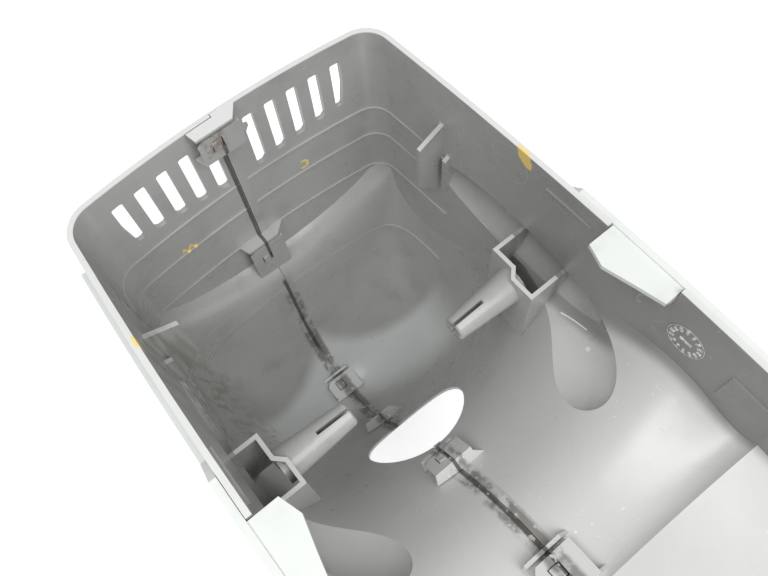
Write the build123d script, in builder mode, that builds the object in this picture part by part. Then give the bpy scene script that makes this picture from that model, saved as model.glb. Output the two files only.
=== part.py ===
"""Open-topped two-shell moulded housing with snap clips, vents and side panels.

Two moulded half shells meet on the plane X = 0 and close with a row of snap clips.
The vented end wall stands at Y = 0 and the housing runs towards -Y. The rim lies in the
plane Z = 0 and the hollow opens upwards. The origin is the top of the end wall, on the
joint plane. All sizes are in millimetres.
"""

import os

from build123d import *

# ---- overall form -----------------------------------------------------------------
length = 292.0              # end wall to end wall, along Y
wall = 2.0                  # moulded wall
rim_half_width = 67.8       # widest half width over the walls
widest_y = -122.0           # where the widest section stands
side_bow_r = 1700.0         # plan radius of the long walls
end_bow_r = 420.0           # plan radius of the vented wall
near_bow_r = 560.0          # plan radius of the plain end wall
far_corner_r = 12.0         # plan corner radius at the vented end
near_corner_r = 22.0        # plan corner radius at the plain end

# Cross-sections along Y: (y, depth of the straight side, depth on the joint plane, fullness).
# Fullness says how far the side keeps going down before it turns into the floor.
sections = (
    (3.0, 50.0, 100.0, 0.55),
    (-16.0, 60.0, 162.0, 0.58),
    (-32.0, 62.0, 199.0, 0.60),
    (-50.0, 62.0, 206.0, 0.60),
    (-72.0, 58.0, 188.0, 0.58),
    (-94.0, 48.0, 143.0, 0.55),
    (-118.0, 41.0, 103.0, 0.45),
    (-142.0, 36.0, 76.0, 0.26),
    (-167.0, 35.0, 60.0, 0.17),
    (-192.0, 35.0, 54.0, 0.16),
)
plain_end = (34.0, 48.0, 0.16)  # the same three values at the plain end wall

# ---- joint between the shells -------------------------------------------------------
lip = 3.2                   # the right shell's inner lip reaches this far past the joint
joint_gap = 0.25            # clearance round the lip

# ---- vents in the end wall -----------------------------------------------------------
vent_count = 5              # on each side of the joint
vent_first = 8.9            # middle of the first vent
vent_pitch = 9.3
vent_width = 4.4
vent_top = 9.5              # depth of the vents' upper ends
vent_bottom = 38.0          # depth of the first vent's lower end
vent_rise = 1.4             # each next vent ends this much higher
vent_corner_r = 0.9
vent_sweep = 11.0           # height of the slanted corner of the outermost vent

# ---- low relief on the inner faces -----------------------------------------------------
contour_depths = (41.0, 58.0, 80.0, 120.0)
contour_width = 0.8
relief_height = 0.6         # steps, pads and the lip stand this far proud
contour_reach = 48.0        # how far from the end wall the steps run
pad_y = (-190.0, -172.5)
pad_depths = (15.0, 31.0)
dash_y = (-113.0, -93.0)    # short line below the rim
dash_depths = (7.4, 8.2)

# ---- bulge that wraps each tower ----------------------------------------------------------
bulge_center = (48.0, -90.0, -52.0)
bulge_r = 26.0              # across, towards the side
bulge_half_height = 21.0
bulge_half_length = 66.0
bulge_tilt = 4.0            # degrees, nose down towards the plain end

# ---- brackets and towers -------------------------------------------------------------------
tower_y = -96.8
tower_depth = 57.7
tower_tip_x = 24.4
tower_tip_r = 4.8
tower_root_r = 7.0
tower_tip_chamfer = 0.6
tower_bore_r = 2.5
tower_slot_width = 1.5
tower_slot_length = 14.0
bracket_wall = 1.6
bracket_far_y = -85.4
bracket_near_y = -108.2
bracket_web_x = 55.0        # middle of the far stretch of the web
bracket_jog = 3.4           # the near stretch of the web stands this much further in
bracket_top = 48.0
bracket_bottom = 84.0

# ---- gusset ribs near the vented end: (y, reach, depth of the top, height) --------------------
rib_rows = (
    (-43.5, 13.0, 21.0, 44.0),
    (-37.0, 8.0, 42.0, 30.0),
    (-47.6, 4.0, 37.0, 24.0),
)
rib_wall = 1.8

# ---- rim ledge, notch, side panel and its tab --------------------------------------------------
ledge_depth = 3.5           # rim down to the ledge's upper face
ledge_wall = 1.5
ledge_reach = 3.5           # how far the ledge stands in from the wall
notch_far_y = -117.3
notch_near_y = -146.0
panel_gap = 0.3
panel_wall = 2.4
panel_far_y = -20.0
panel_near_y = -270.0
panel_top = 8.0             # depth of the panel's upper edge at the vented end
panel_raised_top = 1.0      # depth of the upper edge past the step
panel_step_y = -103.0
panel_bottom = 29.0
panel_corner_r = 8.0
tab_wall = 1.8
tab_gap = 0.4
tab_reach = 10.3            # rim's inner edge to the tab's furthest corner

# ---- round hole in the slope -------------------------------------------------------------------
hole_y = -106.0
hole_depth = 122.0
hole_r = 25.0
slope_angle = 56.0          # degrees, slope of the floor at the hole

# ---- snap clips along the joint -------------------------------------------------------------------
wall_clips = ((8.5, 6.0), (95.0, 12.0))  # (depth, half height) on the vented wall
floor_clips = ((-42.5, 6.0), (-131.0, 5.5), (-183.0, 7.0), (-245.0, 7.0))  # (y, half height)
blade_y = -83.0             # lone blade at the hole's far edge
clip_wall = 1.3
clip_height = 5.5           # shell's inner face to the strap's outer face
clip_left = -13.0
clip_right = 4.0
clip_corner = 2.4           # chamfer on the strap's free corners
clip_wing = 0.7             # how far the shelves run past the strap, per half height
blade_gap = 1.4             # upper blade to the strap
window_left = -8.6
window_right = -3.8
window_half_height = 2.6
window_rise = 0.2           # window's middle above the strap's, per half height
catch_gap = 0.4
catch_rise = 0.8            # the catch stands this much proud of the strap

margin = 16.0               # the drawn half reaches this far past the joint
above = 8.0                 # cutters and drawn solids reach this far past the rim
deep = 260.0                # deeper than any part of the housing
wide = 100.0                # wider than half the housing

os.makedirs("parts", exist_ok=True)


def slab(x0, x1, y0, y1, z0, z1):
    """A block between two corners."""
    with BuildPart() as block:
        with Locations(((x0 + x1) / 2, (y0 + y1) / 2, (z0 + z1) / 2)):
            Box(x1 - x0, y1 - y0, z1 - z0)
    return block.part


def rim_outline(inset):
    """Plan of the rim, drawn in by inset, from a margin left of the joint to the right wall."""
    with BuildSketch() as plan:
        with Locations((rim_half_width - side_bow_r, widest_y)):
            Circle(side_bow_r - inset)
        with Locations((side_bow_r - rim_half_width, widest_y)):
            Circle(side_bow_r - inset, mode=Mode.INTERSECT)
        with Locations((0, -end_bow_r)):
            Circle(end_bow_r - inset, mode=Mode.INTERSECT)
        with Locations((0, near_bow_r - length)):
            Circle(near_bow_r - inset, mode=Mode.INTERSECT)
        corners = plan.vertices().sort_by(Axis.Y)
        fillet(corners[-2:], far_corner_r - inset)
        fillet(corners[:2], near_corner_r - inset)
        with Locations((-margin, 0)):
            Rectangle(wide, 3 * length, align=(Align.MIN, Align.CENTER), mode=Mode.INTERSECT)
    return plan.sketch


def hull_section(y, side, depth, fullness, inset):
    """One cross-section of the hull: straight sides, then a floor of two curves."""
    half = rim_half_width + 1.0 - inset
    shoulder = side - inset
    bottom = depth - inset
    turn = shoulder + fullness * (bottom - shoulder)
    flat = 0.55 * half
    with BuildSketch(Plane.XZ.offset(-y)) as section:
        with BuildLine():
            Polyline((-half, -shoulder), (-half, above), (half, above), (half, -shoulder))
            Bezier((half, -shoulder), (half, -turn), (flat, -bottom), (0, -bottom))
            Bezier((0, -bottom), (-flat, -bottom), (-half, -turn), (-half, -shoulder))
        make_face()
    return section.sketch


def bulge(inset):
    """Long egg that swells the right-hand wall round its tower."""
    radius = bulge_r - inset
    with BuildPart() as egg:
        Sphere(radius, rotation=(0, 0, 180))
        scale(by=(1, (bulge_half_length - inset) / radius, (bulge_half_height - inset) / radius))
    return egg.part.rotate(Axis.X, bulge_tilt).translate(bulge_center)


def hull(inset):
    """Outer form right of the joint as a solid, drawn in by inset on every side but the top."""
    drawn = [hull_section(*section, inset) for section in sections]
    end = hull_section(-length - above, *plain_end, inset)
    with BuildPart() as trough:
        loft(drawn)
        loft([drawn[-1], end], ruled=True)
    with BuildPart() as body:
        with BuildSketch(Plane.XY.offset(2 * above)):
            add(rim_outline(inset))
        extrude(amount=-deep)
        add(trough.part, mode=Mode.INTERSECT)
        add(bulge(inset))
    return body.part


outer_hull = hull(0.0)
lap_hull = hull(wall / 2 - joint_gap)
middle_hull = hull(wall / 2)
inner_hull = hull(wall)
relief_hull = hull(wall + relief_height)


def joint_frame(start, direction):
    """Plane on the inner face at the joint: X across the joint, Z into the hollow."""
    hits = inner_hull.solid().shell().find_intersection_points(Axis(start, direction))
    point, normal = hits[-1]
    return Plane(origin=(0, point.Y, point.Z), x_dir=(1, 0, 0), z_dir=(0, -normal.Y, -normal.Z))


def vents():
    """Cutters for the right-hand vents; the outermost has a slanted lower corner."""
    with BuildPart() as cutters:
        for index in range(vent_count):
            bottom = vent_bottom - index * vent_rise
            left = vent_first + index * vent_pitch - vent_width / 2
            right = left + vent_width
            sweep = vent_sweep if index == vent_count - 1 else vent_width / 3
            with BuildSketch(Plane.XZ) as slot:
                with BuildLine():
                    Polyline((right - vent_width / 3, -bottom), (left, -bottom), (left, -vent_top),
                             (right, -vent_top), (right, sweep - bottom), close=True)
                make_face()
                fillet(slot.vertices(), vent_corner_r)
            extrude(amount=far_corner_r, both=True)
    return cutters.part


def ribs():
    """Gussets that stand in from the right-hand wall near the vented end."""
    wall_x = rim_half_width
    inner_x = wall_x - wall
    with BuildPart() as gussets:
        for y, reach, top, height in rib_rows:
            with BuildSketch(Plane.XZ.offset(-y)):
                with BuildLine():
                    Polyline((wall_x, -top), (inner_x, -top), (inner_x - reach, -top - reach / 2),
                             (inner_x - reach, reach - top - height), (inner_x, -top - height),
                             (wall_x, -top - height), close=True)
                make_face()
            extrude(amount=rib_wall / 2, both=True)
    return gussets.part


def bracket():
    """Hat-shaped bracket that carries the tower off the right-hand wall."""
    near_web_x = bracket_web_x - bracket_jog
    wall_x = rim_half_width + bulge_r
    jog_y = tower_y - bracket_jog / 2
    with BuildPart() as hat:
        with BuildSketch(Plane.XY.offset(-bracket_top)):
            with BuildLine() as route:
                Polyline((wall_x, bracket_far_y), (bracket_web_x, bracket_far_y),
                         (bracket_web_x, jog_y + bracket_jog), (near_web_x, jog_y),
                         (near_web_x, bracket_near_y), (wall_x, bracket_near_y))
            trace(route.line, bracket_wall)
        extrude(amount=bracket_top - bracket_bottom)
    return hat.part


tower_frame = Plane(origin=(tower_tip_x, tower_y, -tower_depth), x_dir=(0, 1, 0), z_dir=(1, 0, 0))
tower_length = bracket_web_x - tower_tip_x


def tower():
    """Tapered tower with four slots in its tip."""
    with BuildPart() as cone:
        with BuildSketch(tower_frame):
            Circle(tower_tip_r)
        with BuildSketch(tower_frame.offset(tower_length)):
            Circle(tower_root_r)
        loft()
        chamfer(cone.edges().group_by(Axis.X)[0], tower_tip_chamfer)
        with BuildSketch(tower_frame):
            Rectangle(3 * tower_tip_r, tower_slot_width)
            Rectangle(tower_slot_width, 3 * tower_tip_r)
        extrude(amount=tower_slot_length, mode=Mode.SUBTRACT)
    return cone.part


def tower_bore():
    """Cutter for the bore, from behind the bracket's web to the open tip."""
    with BuildPart() as bore:
        with BuildSketch(tower_frame.offset(-above)):
            Circle(tower_bore_r)
        extrude(amount=above + tower_length + bracket_wall)
    return bore.part


def clip_shelf(frame, at, wing):
    """Shelf square to the wall, tapered to the right; at is its middle along the joint."""
    edge = frame.from_local_coords(Vector(0, at, 0))
    with BuildPart() as shelf:
        with BuildSketch(Plane(origin=edge, x_dir=frame.x_dir, z_dir=-frame.y_dir)):
            with BuildLine():
                Polyline((clip_left - wing / 2, 0), (clip_left, clip_height),
                         (clip_right / 2, clip_height), (clip_right + wing, 0),
                         (clip_right + wing, -wall), (-lip, -wall), close=True)
            make_face()
        extrude(amount=clip_wall / 2, both=True)
    return shelf.part


def clip_loop(frame, half_height):
    """Windowed strap between a blade and a shelf, bridging the joint from the right shell."""
    wing = clip_wing * half_height
    with BuildPart() as loop:
        with BuildSketch(frame.offset(clip_height - clip_wall)) as strap:
            with Locations(((clip_left + clip_right) / 2, 0)):
                Rectangle(clip_right - clip_left, 2 * half_height)
            chamfer(strap.vertices().group_by(Axis.X)[0], clip_corner)
            with Locations(((window_left + window_right) / 2, window_rise * half_height)):
                Rectangle(window_right - window_left, 2 * window_half_height, mode=Mode.SUBTRACT)
        extrude(amount=clip_wall)
        with BuildSketch(frame.offset(-wall)):
            with Locations((clip_right - clip_wall / 2, 0)):
                Rectangle(clip_wall, 2 * half_height)
        extrude(amount=wall + clip_height)
        add(clip_shelf(frame, half_height + blade_gap + clip_wall / 2, wing / 2))
        add(clip_shelf(frame, clip_wall / 2 - half_height, wing))
    return loop.part


def clip_catch(frame, half_height):
    """Ramped catch on the left shell that fills the strap's window."""
    left = window_left + catch_gap
    right = window_right - catch_gap
    top = clip_height + catch_rise
    middle = frame.from_local_coords(Vector(0, window_rise * half_height, 0))
    with BuildPart() as catch:
        with BuildSketch(Plane(origin=middle, x_dir=frame.x_dir, z_dir=-frame.y_dir)):
            with BuildLine():
                Polyline((left, -wall), (left, top), (left + clip_wall, top),
                         (right, clip_height), (right, -wall), close=True)
            make_face()
        extrude(amount=window_half_height - catch_gap, both=True)
    return catch.part


def slope_hole():
    """Cutter for the round hole, square to the slope of the floor."""
    slope = Plane(origin=(0, hole_y, -hole_depth), x_dir=(1, 0, 0),
                  z_dir=Vector(0, 0, 1).rotate(Axis.X, -slope_angle))
    with BuildPart() as cutter:
        with BuildSketch(slope):
            Circle(hole_r)
        extrude(amount=hole_r, both=True)
    return cutter.part


def side_panel():
    """Right-hand panel outside the wall, with a stepped top edge and a tab for the notch."""
    with BuildPart() as panel:
        with BuildSketch():
            add(rim_outline(-panel_gap - panel_wall))
            add(rim_outline(-panel_gap), mode=Mode.SUBTRACT)
        extrude(amount=-panel_bottom)
        with BuildSketch(Plane.YZ) as side_view:
            with BuildLine():
                Polyline((panel_far_y, -panel_top), (panel_step_y + panel_top, -panel_top),
                         (panel_step_y, -panel_raised_top), (panel_near_y, -panel_raised_top),
                         (panel_near_y, -panel_bottom), (panel_far_y, -panel_bottom), close=True)
            make_face()
            lower = side_view.vertices().group_by(Axis.Y)[0]
            fillet(lower, panel_corner_r)
        extrude(amount=wide, mode=Mode.INTERSECT)
        edge_x = rim_half_width - wall - tab_reach
        outer_x = rim_half_width + panel_wall / 2
        far = notch_far_y - tab_gap
        near = notch_near_y + tab_gap
        with BuildSketch(Plane.XY.offset(-ledge_depth)):
            with BuildLine():
                Polyline((outer_x, far), (edge_x + 2.4, far), (edge_x, far - 7.5),
                         (edge_x + 2.8, near + 9.5), (edge_x + 5.0, near), (outer_x, near),
                         close=True)
            make_face()
        extrude(amount=tab_wall)
    return panel.part


# ---- features shared by both shells ---------------------------------------------------------------
inner_x = rim_half_width - wall - ledge_reach
ledge = slab(inner_x, wide, notch_near_y, notch_far_y, -ledge_depth - ledge_wall, -ledge_depth)
notch = slab(inner_x, wide, notch_near_y, notch_far_y, -ledge_depth, above)
bore = tower_bore()

with BuildPart() as fixtures:
    add(ribs())
    add(bracket())
    add(tower())
    add(bore, mode=Mode.SUBTRACT)
    add(ledge)
    add(middle_hull, mode=Mode.INTERSECT)

with BuildPart() as reliefs:
    for depth in contour_depths:
        add(slab(-lip, wide, -contour_reach, above, -depth - contour_width, -depth))
    add(slab(0, wide, *pad_y, -pad_depths[1], -pad_depths[0]))
    add(slab(0, wide, *dash_y, -dash_depths[1], -dash_depths[0]))
    add(slab(-lip, 0, -2 * length, wide, -deep, wide))
    add(middle_hull, mode=Mode.INTERSECT)
    add(relief_hull, mode=Mode.SUBTRACT)

with BuildPart() as openings:
    add(vents())
    add(notch)
    add(slab(-wide, wide, -2 * length, wide, 0, 4 * above))
    add(slope_hole())

lip_side = slab(-lip, wide, -2 * length, wide, -deep, wide)
with BuildPart() as half_shell:
    add(middle_hull)
    add(lip_side, mode=Mode.INTERSECT)
    add(outer_hull & slab(0, wide, -2 * length, wide, -deep, wide))
    add(inner_hull, mode=Mode.SUBTRACT)
    add(reliefs.part)
    add(openings.part, mode=Mode.SUBTRACT)
    add(fixtures.part)

clips = [(joint_frame((0.01, -length / 2, -depth), (0, 1, 0)), half_height)
         for depth, half_height in wall_clips]
clips += [(joint_frame((0.01, y, above - 1), (0, 0, -1)), half_height)
          for y, half_height in floor_clips]

# ---- right shell: carries the lip and the clips' straps ---------------------------------------------
with BuildPart() as straps:
    for frame, half_height in clips:
        add(clip_loop(frame, half_height))
    add(clip_shelf(joint_frame((0.01, blade_y, above - 1), (0, 0, -1)), 0, clip_right))
    add((middle_hull & lip_side) + relief_hull, mode=Mode.INTERSECT)

with BuildPart() as right_shell:
    add(half_shell.part)
    add(straps.part)
right_shell.part.label = "right_shell"
export_step(right_shell.part, "parts/right_shell.step")

# ---- left shell: rebated for the lip, carries the catches ----------------------------------------------
with BuildPart() as catches:
    for frame, half_height in clips:
        add(clip_catch(frame, half_height))
    add(middle_hull, mode=Mode.INTERSECT)

with BuildPart() as left_shell:
    add(half_shell.part)
    add(lap_hull & slab(-wide, lip + joint_gap, -2 * length, wide, -deep, wide),
        mode=Mode.SUBTRACT)
    mirror(about=Plane.YZ, mode=Mode.REPLACE)
    add(catches.part)
left_shell.part.label = "left_shell"
export_step(left_shell.part, "parts/left_shell.step")

# ---- side panels ------------------------------------------------------------------------------------------
right_panel = side_panel()
right_panel.label = "right_panel"
export_step(right_panel, "parts/right_panel.step")

left_panel = right_panel.mirror(Plane.YZ)
left_panel.label = "left_panel"
export_step(left_panel, "parts/left_panel.step")
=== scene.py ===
"""Dresses the two-shell moulded housing, with its side panels, on a pale studio floor."""
import math

import bpy
import mathutils
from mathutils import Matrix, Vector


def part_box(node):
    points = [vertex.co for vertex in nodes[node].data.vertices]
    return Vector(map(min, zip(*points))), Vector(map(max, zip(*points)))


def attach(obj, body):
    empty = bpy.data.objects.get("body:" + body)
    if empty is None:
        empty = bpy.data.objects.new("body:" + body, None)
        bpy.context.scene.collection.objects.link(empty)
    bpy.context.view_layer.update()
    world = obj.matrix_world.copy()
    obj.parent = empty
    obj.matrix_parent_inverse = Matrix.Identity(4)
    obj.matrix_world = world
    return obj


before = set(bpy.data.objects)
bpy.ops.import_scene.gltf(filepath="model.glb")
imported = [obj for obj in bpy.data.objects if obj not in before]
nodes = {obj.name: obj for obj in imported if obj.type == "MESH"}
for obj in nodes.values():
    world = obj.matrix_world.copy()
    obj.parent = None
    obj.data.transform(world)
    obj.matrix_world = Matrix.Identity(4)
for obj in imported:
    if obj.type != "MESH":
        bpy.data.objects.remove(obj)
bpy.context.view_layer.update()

# ---- right and left shell -------------------------------------------------------------------
# Two injection moulded halves in grey plastic, which lap along the joint and are held together
# by snap clips. Flow marks, fine grain, scratches, dust, dirt and dabs of yellow marking paint
# are all in the surface.
mm_per_metre = 1000.0


class Link:
    """One output in a material. Sums, differences and products add Math nodes."""

    def __init__(self, tree, socket):
        self.tree = tree
        self.socket = socket

    def node(self, kind, settings, values, output=0):
        """Adds a node, sets its settings and its inputs, and returns one output."""
        made = self.tree.nodes.new(kind)
        for name, setting in settings.items():
            setattr(made, name, setting)
        for name, value in values.items():
            if isinstance(value, Link):
                self.tree.links.new(value.socket, made.inputs[name])
            else:
                made.inputs[name].default_value = value
        return Link(self.tree, made.outputs[output])

    def math(self, operation, first, second=0.0):
        """A Math node on one or two values."""
        return self.node("ShaderNodeMath", {"operation": operation}, {0: first, 1: second})

    def __add__(self, other):
        return self.math("ADD", self, other)

    def __radd__(self, other):
        return self.math("ADD", other, self)

    def __sub__(self, other):
        return self.math("SUBTRACT", self, other)

    def __rsub__(self, other):
        return self.math("SUBTRACT", other, self)

    def __mul__(self, other):
        return self.math("MULTIPLY", self, other)

    def __rmul__(self, other):
        return self.math("MULTIPLY", other, self)

    def __abs__(self):
        return self.math("ABSOLUTE", self)

    def larger(self, other):
        """The larger of two masks, so that either one shows."""
        return self.math("MAXIMUM", self, other)

    def distance(self, other):
        """How far from a centre, where self and other are the two offsets from it."""
        return self.math("SQRT", self * self + other * other)

    def rise(self, low, high):
        """0 below low, 1 above high, smooth between; low above high turns it round."""
        return self.node("ShaderNodeMapRange", {"interpolation_type": "SMOOTHSTEP"},
                         {"Value": self, "From Min": low, "From Max": high})

    def noise(self, size, detail=2.0, roughness=0.5, distortion=0.0):
        """Noise whose features are about size millimetres across; self is the place."""
        return self.node("ShaderNodeTexNoise", {},
                         {"Vector": self, "Scale": mm_per_metre / size, "Detail": detail,
                          "Roughness": roughness, "Distortion": distortion})

    def plain(self, colour):
        """One colour all over, for the tints to start from."""
        made = self.node("ShaderNodeRGB", {}, {})
        made.socket.default_value = colour
        return made

    def tint(self, factor, colour):
        """self, mixed towards colour by factor; 6, 7 and output 2 are the colour sockets."""
        return self.node("ShaderNodeMix", {"data_type": "RGBA"},
                         {0: factor, 6: self, 7: colour}, output=2)

    def stretch(self, scale, rotation=(0.0, 0.0, 0.0)):
        """The place, turned and scaled; a scale under 1 draws a pattern out along that axis."""
        return self.node("ShaderNodeMapping", {},
                         {"Vector": self, "Rotation": rotation, "Scale": scale})

    def bump(self, height, strength, distance):
        """The surface's normal, raised by height over distance metres."""
        return self.node("ShaderNodeBump", {},
                         {"Strength": strength, "Distance": distance, "Height": height})

    def millimetres(self, axis):
        """One coordinate of the place, in millimetres."""
        return self.node("ShaderNodeSeparateXYZ", {}, {0: self}, output=axis) * mm_per_metre


def new_material(name):
    """A material, its Principled shader and the Object coordinates it reads."""
    made = bpy.data.materials.new(name)
    made.use_nodes = True
    tree = made.node_tree
    place = Link(tree, tree.nodes.new("ShaderNodeTexCoord").outputs["Object"])
    return made, tree.nodes["Principled BSDF"], place


def feed(shader, links):
    """Links values to a shader's inputs."""
    for name, link in links.items():
        link.tree.links.new(link.socket, shader.inputs[name])


def dress(piece, material):
    """Gives every face of a piece one material."""
    piece.data.materials.clear()
    piece.data.materials.append(material)


charcoal, shader, place = new_material("charcoal_plastic")
x, y, z = (place.millimetres(axis) for axis in range(3))
across = abs(x)

# the side walls are widest this far from the vented wall, and curve in both ways from there;
# inner_side is 1 on their inner face and 0 outside
widest = 122.0
wall_curve = 1 / 3400
from_widest = y + widest
wall_side = across + from_widest * from_widest * wall_curve
inner_side = wall_side.rise(67.0, 66.6)

# the melt's broad flow marks, blotches and smears, and the mould's fine grain
base_grey = (0.425, 0.430, 0.415, 1.0)
flow_grey = (0.490, 0.500, 0.480, 1.0)
smear_grey = (0.315, 0.310, 0.298, 1.0)
grain_grey = (0.44, 0.44, 0.43, 1.0)
flow = place.noise(55.0, detail=3.0, distortion=1.2)
grain = place.noise(0.7, detail=2.0)
cloud = place.noise(9.0, detail=4.0, roughness=0.6)
smear = place.noise(16.0, detail=4.0, roughness=0.6, distortion=0.2)
colour = place.plain(base_grey)
colour = colour.tint(flow.rise(0.35, 0.7) * 0.45, flow_grey)
colour = colour.tint(smear.rise(0.48, 0.74) * 0.45, smear_grey)
colour = colour.tint(grain.rise(0.5, 0.75) * 0.15, grain_grey)

# three broad tones stand in for light: painted shade darkens the right wall towards the plain
# end, and painted highlights make the shallow half's floor and the deep valley by the vented
# wall paler
painted_wall_shade = (0.215, 0.205, 0.198, 1.0)
painted_floor_highlight = (0.70, 0.71, 0.70, 1.0)
painted_valley_highlight = (0.78, 0.80, 0.80, 1.0)
valley_lean = 0.55
valley_start = 16.0
wall_shade_mask = x.rise(61.0, 64.0) * y.rise(-50.0, -112.0) * inner_side
colour = colour.tint(wall_shade_mask * 0.62, painted_wall_shade)
floor_highlight_and_dust = y.rise(-90.0, -140.0) * z.rise(-30.0, -38.0) * across.rise(65.0, 61.0)
colour = colour.tint(floor_highlight_and_dust * 0.75, painted_floor_highlight)
valley_highlight_band = 0.0 - y - across * valley_lean - valley_start
valley_highlight_mask = valley_highlight_band.rise(0.0, 8.0) * valley_highlight_band.rise(50.0, 26.0) * z.rise(-128.0, -166.0)
colour = colour.tint(valley_highlight_mask * (0.65 + 0.3 * flow), painted_valley_highlight)

# scratches that run one way, and pale dust that lies thickest on the shallow floor
scratch_grey = (0.55, 0.55, 0.54, 1.0)
dust_white = (0.90, 0.90, 0.87, 1.0)
scratch_turn = (0.2, 0.35, 0.6)
stretched = place.stretch((1.0, 0.04, 1.0), scratch_turn)
scratch_noise = stretched.noise(1.1, detail=1.0)
scratches = scratch_noise.rise(0.70, 0.74) * cloud.rise(0.5, 0.62)
colour = colour.tint(scratches * 0.35, scratch_grey)
speck_noise = place.noise(1.3, detail=1.0)
patch_noise = place.noise(24.0, detail=3.0)
dust = speck_noise.rise(0.70, 0.76) * patch_noise.rise(0.46, 0.66)
# the shallow floor's mask places both its painted highlight and the extra dust
dust = dust * (0.30 + 0.45 * floor_highlight_and_dust)
colour = colour.tint(dust, dust_white)

# brown dirt packed along the joint, a little to the left of the middle
dirt_brown = (0.125, 0.110, 0.090, 1.0)
dirt_left = 3.4
torn = place.noise(2.6, detail=3.0)
from_dirt = abs(x + dirt_left + torn * 1.2)
joint_dirt = from_dirt.rise(4.6, 2.6) * cloud.rise(0.38, 0.56) * y.rise(-9.0, -14.0)
colour = colour.tint(joint_dirt * 0.75, dirt_brown)

# the joint's dark line down the vented wall, and on below the vents, where the wall's inner
# face leans in two runs
line_black = (0.045, 0.042, 0.038, 1.0)
joint_left = 4.3
upper_lean = -0.106
upper_shift = 12.8
lower_lean = -0.17
lower_shift = 22.1
face_shift = 10.7
joint_line = abs(x + joint_left).rise(0.95, 0.55) * y.rise(-1.4, -1.8)
joint_line = joint_line * z.rise(-96.0, -94.0) * z.rise(-4.0, -9.0)
leaning = (z * upper_lean - upper_shift).larger(z * lower_lean - lower_shift)
inner_face = leaning + y + face_shift
lower_line = abs(x + joint_left).rise(1.1, 0.6) * inner_face.rise(0.2, -0.2)
lower_line = lower_line * z.rise(-113.0, -116.0) * z.rise(-188.0, -180.0)
colour = colour.tint(joint_line.larger(lower_line) * 0.85, line_black)

# pale grit in the joint's dirt, and a brown stain on the clip at the top of the vented wall
grit_grey = (0.72, 0.70, 0.64, 1.0)
stain_brown = (0.25, 0.155, 0.115, 1.0)
clip_left = 7.0
joint_grit = from_dirt.rise(5.0, 3.0) * torn.rise(0.60, 0.68) * y.rise(-20.0, -30.0)
colour = colour.tint(joint_grit * 0.7, grit_grey)
clip_stain = abs(x + clip_left).rise(5.0, 3.4) * y.rise(-14.0, -11.0)
clip_stain = clip_stain * z.rise(-13.0, -10.0) * z.rise(-1.5, -3.0)
colour = colour.tint(clip_stain * torn.rise(0.40, 0.56) * 0.6, stain_brown)

# brown streaks that run down the left wall by the vented end, and ochre patches below them
streak_brown = (0.155, 0.125, 0.090, 1.0)
ochre_brown = (0.47, 0.31, 0.13, 1.0)
streak = place.stretch((1.0, 1.0, 0.10)).noise(3.2, detail=3.0)
left_corner = x.rise(-46.0, -60.0) * y.rise(-98.0, -60.0) * y.rise(-12.0, -24.0) * inner_side
corner_dirt = left_corner * streak.rise(0.46, 0.62)
colour = colour.tint(corner_dirt * 0.45, streak_brown)
ochre = left_corner * cloud.rise(0.60, 0.70) * z.rise(-40.0, -70.0)
colour = colour.tint(ochre * 0.45, ochre_brown)

# the flat rim, and the tops of the brackets and of the ribs, are painted pale as a highlight
# where light falls on them; a rib's top starts at the wall and falls inwards: (y, depth below the
# rim)
painted_top_highlight = (0.80, 0.81, 0.80, 1.0)
ribs = ((-43.5, 21.0), (-37.0, 42.0), (-47.6, 37.0))
rib_root = 65.0
rib_fall = 0.506
rim_top_highlight = z.rise(-0.5, -0.1)
bracket_top = across.rise(64.2, 64.0) * z.rise(-48.4, -48.1) * y.rise(-84.2, -84.4)
bracket_top = bracket_top * y.rise(-109.6, -109.2) * z.rise(-47.6, -47.9)
top_highlight_mask = rim_top_highlight.larger(bracket_top)
for rib_y, rib_depth in ribs:
    from_top = z + rib_depth + (rib_root - across) * rib_fall
    rib_edge = from_top.rise(-0.5, -0.2) * from_top.rise(0.8, 0.5) * abs(y - rib_y).rise(1.3, 1.1)
    rib_edge = rib_edge * across.rise(64.3, 64.1)
    top_highlight_mask = top_highlight_mask.larger(rib_edge)
colour = colour.tint(top_highlight_mask * (0.75 + 0.2 * cloud), painted_top_highlight)

# yellow marking paint: a leaning dab on the right wall, and a small one on the left
paint_yellow = (0.93, 0.70, 0.22, 1.0)
right_dab_y = 81.0
right_dab_depth = 2.4
right_dab_lean = 0.45
left_dab_y = 56.0
ragged = torn * 5.0 - 2.5
dab_along = (y + right_dab_y - z * right_dab_lean) * 0.31
dab_down = (z + right_dab_depth) * 0.24
right_dab = (dab_along * dab_along + dab_down * dab_down + ragged * 0.22).rise(1.05, 0.80)
right_dab = right_dab * x.rise(61.0, 62.5)
left_dab = abs(y + left_dab_y + ragged).rise(2.6, 1.8) * x.rise(-61.0, -62.5)
left_dab = left_dab * (z + ragged).rise(-3.8, -3.0) * (across + ragged * 0.5).rise(66.2, 65.6)

# and on the vented wall a small hook, open on its left, and a short wavy stroke
hook_right = 24.6
hook_depth = 54.2
hook_radius = 2.1
wave_left = 32.7
wave_depth = 56.7
wave_turns = 1.9
wave_height = 1.1
on_vented_wall = y.rise(-8.0, -6.0) * y.rise(-1.2, -1.7)
hook_x = x - hook_right
hook = abs(hook_x.distance(z + hook_depth) - hook_radius).rise(0.75, 0.40)
hook = hook * (hook_x + 0.3 * ragged).rise(-1.2, -0.6) * on_vented_wall
wave = place.math("SINE", (x + wave_left) * wave_turns) * wave_height
squiggle = abs(z + wave_depth - wave).rise(1.05, 0.65) * abs(x + wave_left).rise(3.4, 2.9)
squiggle = squiggle * on_vented_wall
paint = (right_dab.larger(left_dab) * inner_side).larger(hook.larger(squiggle))
colour = colour.tint(paint * cloud.rise(0.20, 0.34), paint_yellow)

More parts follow.
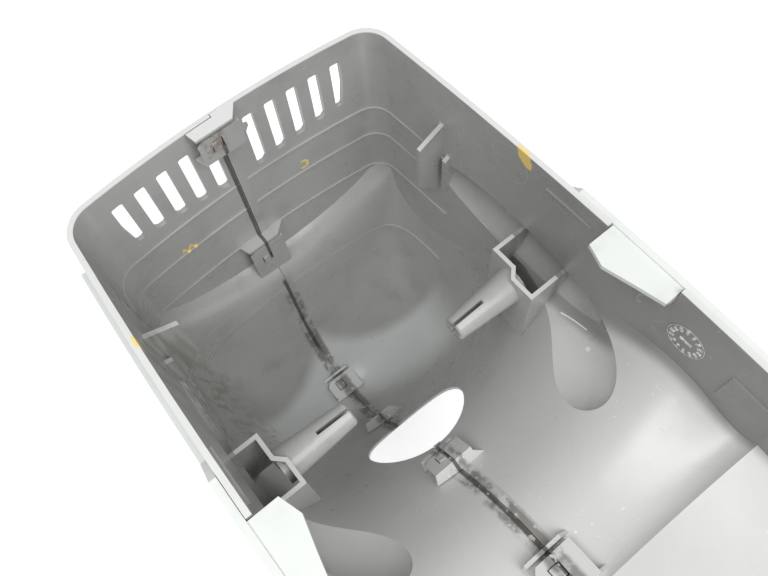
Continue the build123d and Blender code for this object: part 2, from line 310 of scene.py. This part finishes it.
# one pale speck and one fine pale line on the right wall's bulge
mark_white = (0.86, 0.86, 0.84, 1.0)
speck_place = (0.0597, -0.1330, -0.0653)
line_depth = 66.4
line_y = 115.7
line_lean = 0.27
from_speck = place.node("ShaderNodeVectorMath", {"operation": "DISTANCE"},
                        {0: place, 1: speck_place}, output=1) * mm_per_metre
line_z = z + line_depth + (y + line_y) * line_lean
line = abs(line_z).rise(0.28, 0.12) * y.rise(-127.9, -127.5) * y.rise(-115.5, -115.9)
marks = from_speck.rise(1.1, 0.8).larger(line * x.rise(58.0, 60.0))
colour = colour.tint(marks * 0.9, mark_white)

# rings left by the ejector pins on the right wall: (y, z, radius)
ring_grey = (0.46, 0.46, 0.45, 1.0)
ejector_rings = ((-141.5, -20.0, 5.3), (-68.0, -71.0, 8.5), (-68.9, -93.8, 6.0),
                 (-76.5, -11.6, 8.2))
ring_marks = None
for ring_y, ring_z, ring_radius in ejector_rings:
    from_middle = (y - ring_y).distance(z - ring_z)
    ring = abs(from_middle - ring_radius).rise(0.40, 0.12) * x.rise(56.0, 60.0) * inner_side
    ring_marks = ring if ring_marks is None else ring_marks.larger(ring)
colour = colour.tint(ring_marks * smear.rise(0.40, 0.60) * 0.7, ring_grey)

height = grain * 0.3 + scratches * -0.4 + ring_marks * 1.0 + paint * 0.8 + joint_dirt * cloud
roughness = 0.17 + 0.14 * flow + 0.12 * cloud + 0.35 * dust + 0.15 * paint + 0.25 * joint_dirt
feed(shader, {"Base Color": colour, "Roughness": roughness,
              "Normal": place.bump(height, 0.35, 0.0002)})
shader.inputs["Specular IOR Level"].default_value = 0.75
for name in ("right_shell", "left_shell"):
    dress(nodes[name], charcoal)

# ---- date ring ------------------------------------------------------------------------------
# Blank date ring left by an insert in the mould: a fine raised circle round a wheel of short
# raised bars, with one bar across its middle, on the right wall beyond the notch. It is of the
# shell's own plastic, coloured pale with grey patches, and has no lettering.
pale_ring, shader, place = new_material("pale_ring_plastic")
ring_white = (0.82, 0.82, 0.80, 1.0)
ring_patch_grey = (0.30, 0.295, 0.285, 1.0)
ring_noise = place.noise(1.2, detail=2.0)
colour = place.plain(ring_white)
colour = colour.tint(ring_noise.rise(0.40, 0.62) * 0.6, ring_patch_grey)
feed(shader, {"Base Color": colour, "Roughness": 0.22 + 0.2 * ring_noise,
              "Normal": place.bump(ring_noise, 0.2, 0.0001)})

ring_middle = (0.06535, -0.1560, -0.0198)
circle_radius = 0.0067
circle_wire_radius = 0.00012
bar_circle_radius = 0.0052
bar_count = 14
bar_depth = 0.0007
bar_width = 0.0010
bar_length = 0.0018
middle_bar_length = 0.0046
bar_rounding = 0.00018
bpy.ops.object.select_all(action="DESELECT")
bpy.ops.mesh.primitive_torus_add(location=ring_middle, rotation=(0, math.pi / 2, 0),
                                 major_radius=circle_radius, minor_radius=circle_wire_radius,
                                 major_segments=72, minor_segments=12)
date_ring = bpy.context.object
date_ring.name = "date_ring"
for index in range(bar_count + 1):
    angle = 2 * math.pi * index / bar_count
    reach = bar_circle_radius if index < bar_count else 0.0
    length = bar_length if index < bar_count else middle_bar_length
    bar_place = (ring_middle[0], ring_middle[1] + reach * math.cos(angle),
                 ring_middle[2] + reach * math.sin(angle))
    bpy.ops.mesh.primitive_cube_add(size=1.0, location=bar_place, rotation=(angle, 0, 0),
                                    scale=(bar_depth, length, bar_width))
    date_ring.select_set(True)
    bpy.context.view_layer.objects.active = date_ring
    bpy.ops.object.join()
bpy.ops.object.transform_apply(location=True, rotation=True, scale=True)
rounding = date_ring.modifiers.new("rounding", "BEVEL")
rounding.width = bar_rounding
rounding.segments = 3
rounding.limit_method = "ANGLE"
rounding.angle_limit = math.radians(60)
bpy.ops.object.modifier_apply(modifier=rounding.name)
bpy.ops.object.shade_smooth_by_angle(angle=math.radians(40))
dress(date_ring, pale_ring)
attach(date_ring, "root")

# ---- side panels ----------------------------------------------------------------------------
# Pale moulded panels clipped outside the long walls, each with a tab that lies in the rim's
# notch. They are smooth, a little scuffed, and greyed by handling along the top edge.
pale, shader, place = new_material("pale_plastic")
panel_white = (0.80, 0.83, 0.80, 1.0)
blotch_grey = (0.70, 0.73, 0.71, 1.0)
scuff_grey = (0.52, 0.52, 0.50, 1.0)
handled_grey = (0.55, 0.55, 0.53, 1.0)
z = place.millimetres(2)
cloud = place.noise(14.0, detail=4.0, roughness=0.6)
grain = place.noise(0.8)
scuff_noise = place.stretch((1.0, 0.06, 1.0)).noise(1.4)
scuffs = scuff_noise.rise(0.68, 0.74) * cloud.rise(0.45, 0.6)
colour = place.plain(panel_white)
colour = colour.tint(cloud.rise(0.4, 0.7) * 0.35, blotch_grey)
colour = colour.tint(scuffs * 0.3, scuff_grey)
colour = colour.tint(z.rise(-3.0, -1.0) * cloud.rise(0.55, 0.72) * 0.25, handled_grey)
feed(shader, {"Base Color": colour, "Roughness": 0.38 + 0.2 * cloud,
              "Normal": place.bump(grain - scuffs, 0.25, 0.0001)})
for name in ("right_panel", "left_panel"):
    dress(nodes[name], pale)

# ---- floor ----------------------------------------------------------------------------------
# A plain matt sheet of white paper, just under the housing. It glows for camera, glossy and
# transmission rays alone, so that it shows white, lights nothing and keeps the shadow.
floor_size = 12.0
floor_gap = 0.0005
paper_white = (0.86, 0.86, 0.86, 1.0)
floor_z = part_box("right_shell")[0][2] - floor_gap
bpy.ops.object.select_all(action="DESELECT")
bpy.ops.mesh.primitive_plane_add(size=floor_size, location=(0, 0, floor_z))
floor = bpy.context.object
floor.name = "floor"
paper, shader, place = new_material("white_paper")
shader.inputs["Base Color"].default_value = paper_white
shader.inputs["Roughness"].default_value = 0.9
rays = place.tree.nodes.new("ShaderNodeLightPath").outputs
camera_ray = Link(place.tree, rays["Is Camera Ray"])
glossy_ray = Link(place.tree, rays["Is Glossy Ray"])
clear_ray = Link(place.tree, rays["Is Transmission Ray"])
feed(shader, {"Emission Color": camera_ray + glossy_ray + clear_ray})
shader.inputs["Emission Strength"].default_value = 0.5
dress(floor, paper)

# ---- light ----------------------------------------------------------------------------------
# Two soft area lamps, one high on the left and one high towards the plain end, in an even pale
# room. The room shows white to the camera and lights the housing at under half of that.
middle = mathutils.Vector((0.0, -0.13, -0.05))
lamp_distance = 1.1
room_strength = 0.42
for name, towards, size, energy in (
    ("window", (-0.416, -0.073, 0.906), 0.50, 4.6),
    ("front", (0.12, -0.62, 0.78), 0.80, 7.0),
):
    lamp_place = middle + lamp_distance * mathutils.Vector(towards).normalized()
    turn = (middle - lamp_place).to_track_quat("-Z", "Y").to_euler()
    bpy.ops.object.light_add(type="AREA", location=lamp_place, rotation=turn)
    lamp = bpy.context.object
    lamp.name = name
    lamp.data.size = size
    lamp.data.energy = energy
world = bpy.data.worlds.new("studio")
world.use_nodes = True
bpy.context.scene.world = world
background = world.node_tree.nodes["Background"]
background.inputs["Color"].default_value = (1.0, 1.0, 1.0, 1.0)
rays = world.node_tree.nodes.new("ShaderNodeLightPath").outputs
camera_ray = Link(world.node_tree, rays["Is Camera Ray"])
feed(background, {"Strength": room_strength + (1.0 - room_strength) * camera_ray})

# ---- camera ---------------------------------------------------------------------------------
# Stands above the open top, over the shallow half and left of the joint, and looks down
# towards the vented wall. It is turned so that the joint runs aslant across the view.
camera_place = (-0.04623, -0.16499, 0.19295)
camera_turn = (24.639, 3.158, -39.007)
bpy.ops.object.camera_add(location=camera_place,
                          rotation=tuple(math.radians(angle) for angle in camera_turn))
camera = bpy.context.object
camera.data.lens = 33.75
camera.data.sensor_width = 36.0
camera.data.clip_start = 0.005
bpy.context.scene.camera = camera
bpy.context.scene.view_settings.view_transform = "Standard"
